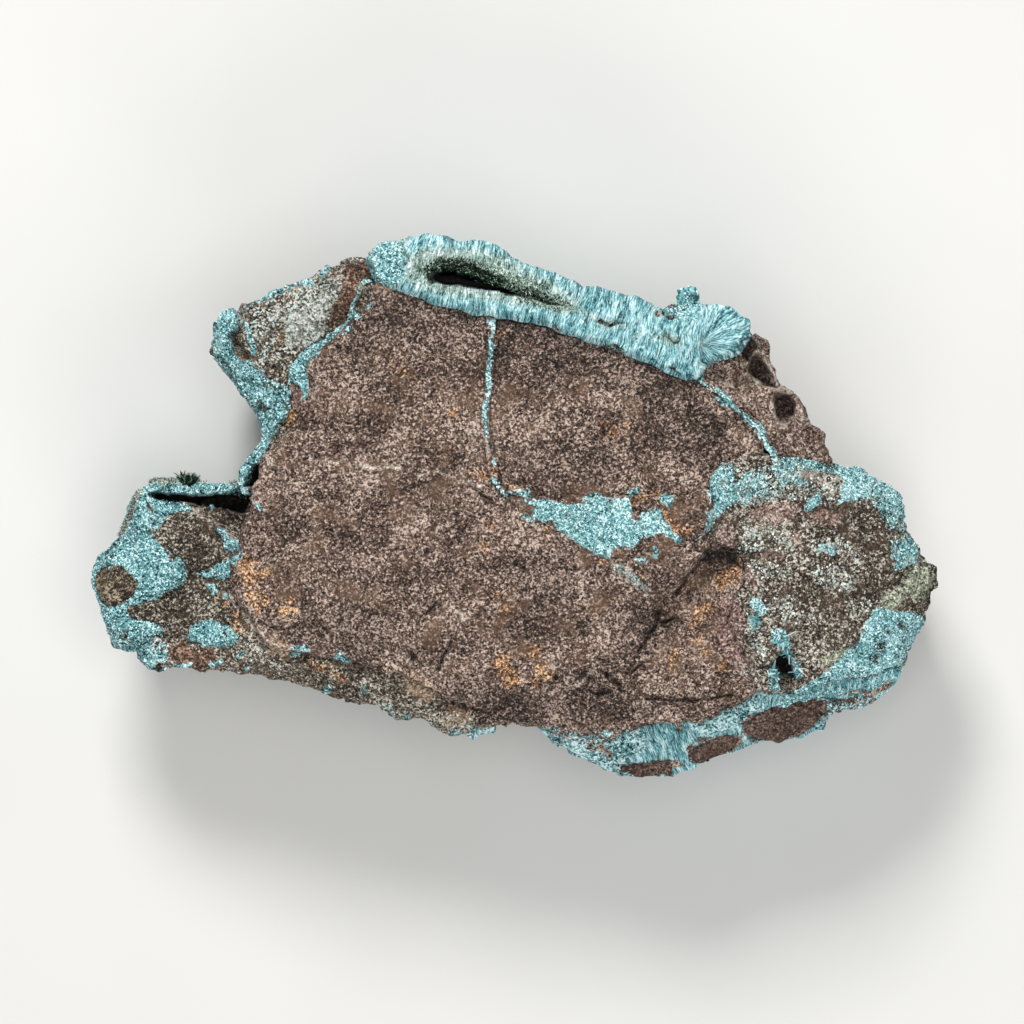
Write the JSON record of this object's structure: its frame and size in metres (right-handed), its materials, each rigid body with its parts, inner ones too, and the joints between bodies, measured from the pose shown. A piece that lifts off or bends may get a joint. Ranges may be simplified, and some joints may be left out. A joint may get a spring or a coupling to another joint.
{
  "type": "shattuckite specimen",
  "caption": "Loose mineral specimen lying flat: dark brown rock fragments held by pale blue fibrous veins, with a small dark green crystal-lined hollow.",
  "frame": {"origin": "under the middle of the specimen's bounding box, on the surface that it rests on", "axes": "+X to the right and +Y up the display face as the picture shows it, +Z out of the display face, which points up"},
  "size_m": [0.0756, 0.0488, 0.0235],
  "materials": {
    "brown_rock": "dull, grainy, purplish dark brown rock",
    "grey_brown_rock": "dull, rough grey-brown rock with pale blue specks",
    "shattuckite": "matt to silky, fibrous, pale greenish blue mineral",
    "malachite": "dark green, finely crystalline, sparkling"
  },
  "bodies": {
    "root": {"main_block": "brown_rock", "upper_block": "brown_rock", "shoulder_rock": "brown_rock", "upper_left_rock": "grey_brown_rock", "bottom_left_rock": "grey_brown_rock", "right_lobe": "grey_brown_rock", "top_vein": "shattuckite", "left_vein": "shattuckite", "upright_vein": "shattuckite", "slanted_vein": "shattuckite", "ledge_crust": "shattuckite", "lower_left_crust": "shattuckite", "bottom_vein": "shattuckite", "diamond_fragment": "brown_rock", "round_fragment": "brown_rock", "wedge_fragment": "brown_rock", "right_fragment": "brown_rock", "middle_fragment": "brown_rock", "low_fragment": "brown_rock", "vug_crust": "malachite"}
  },
  "joints": []
}
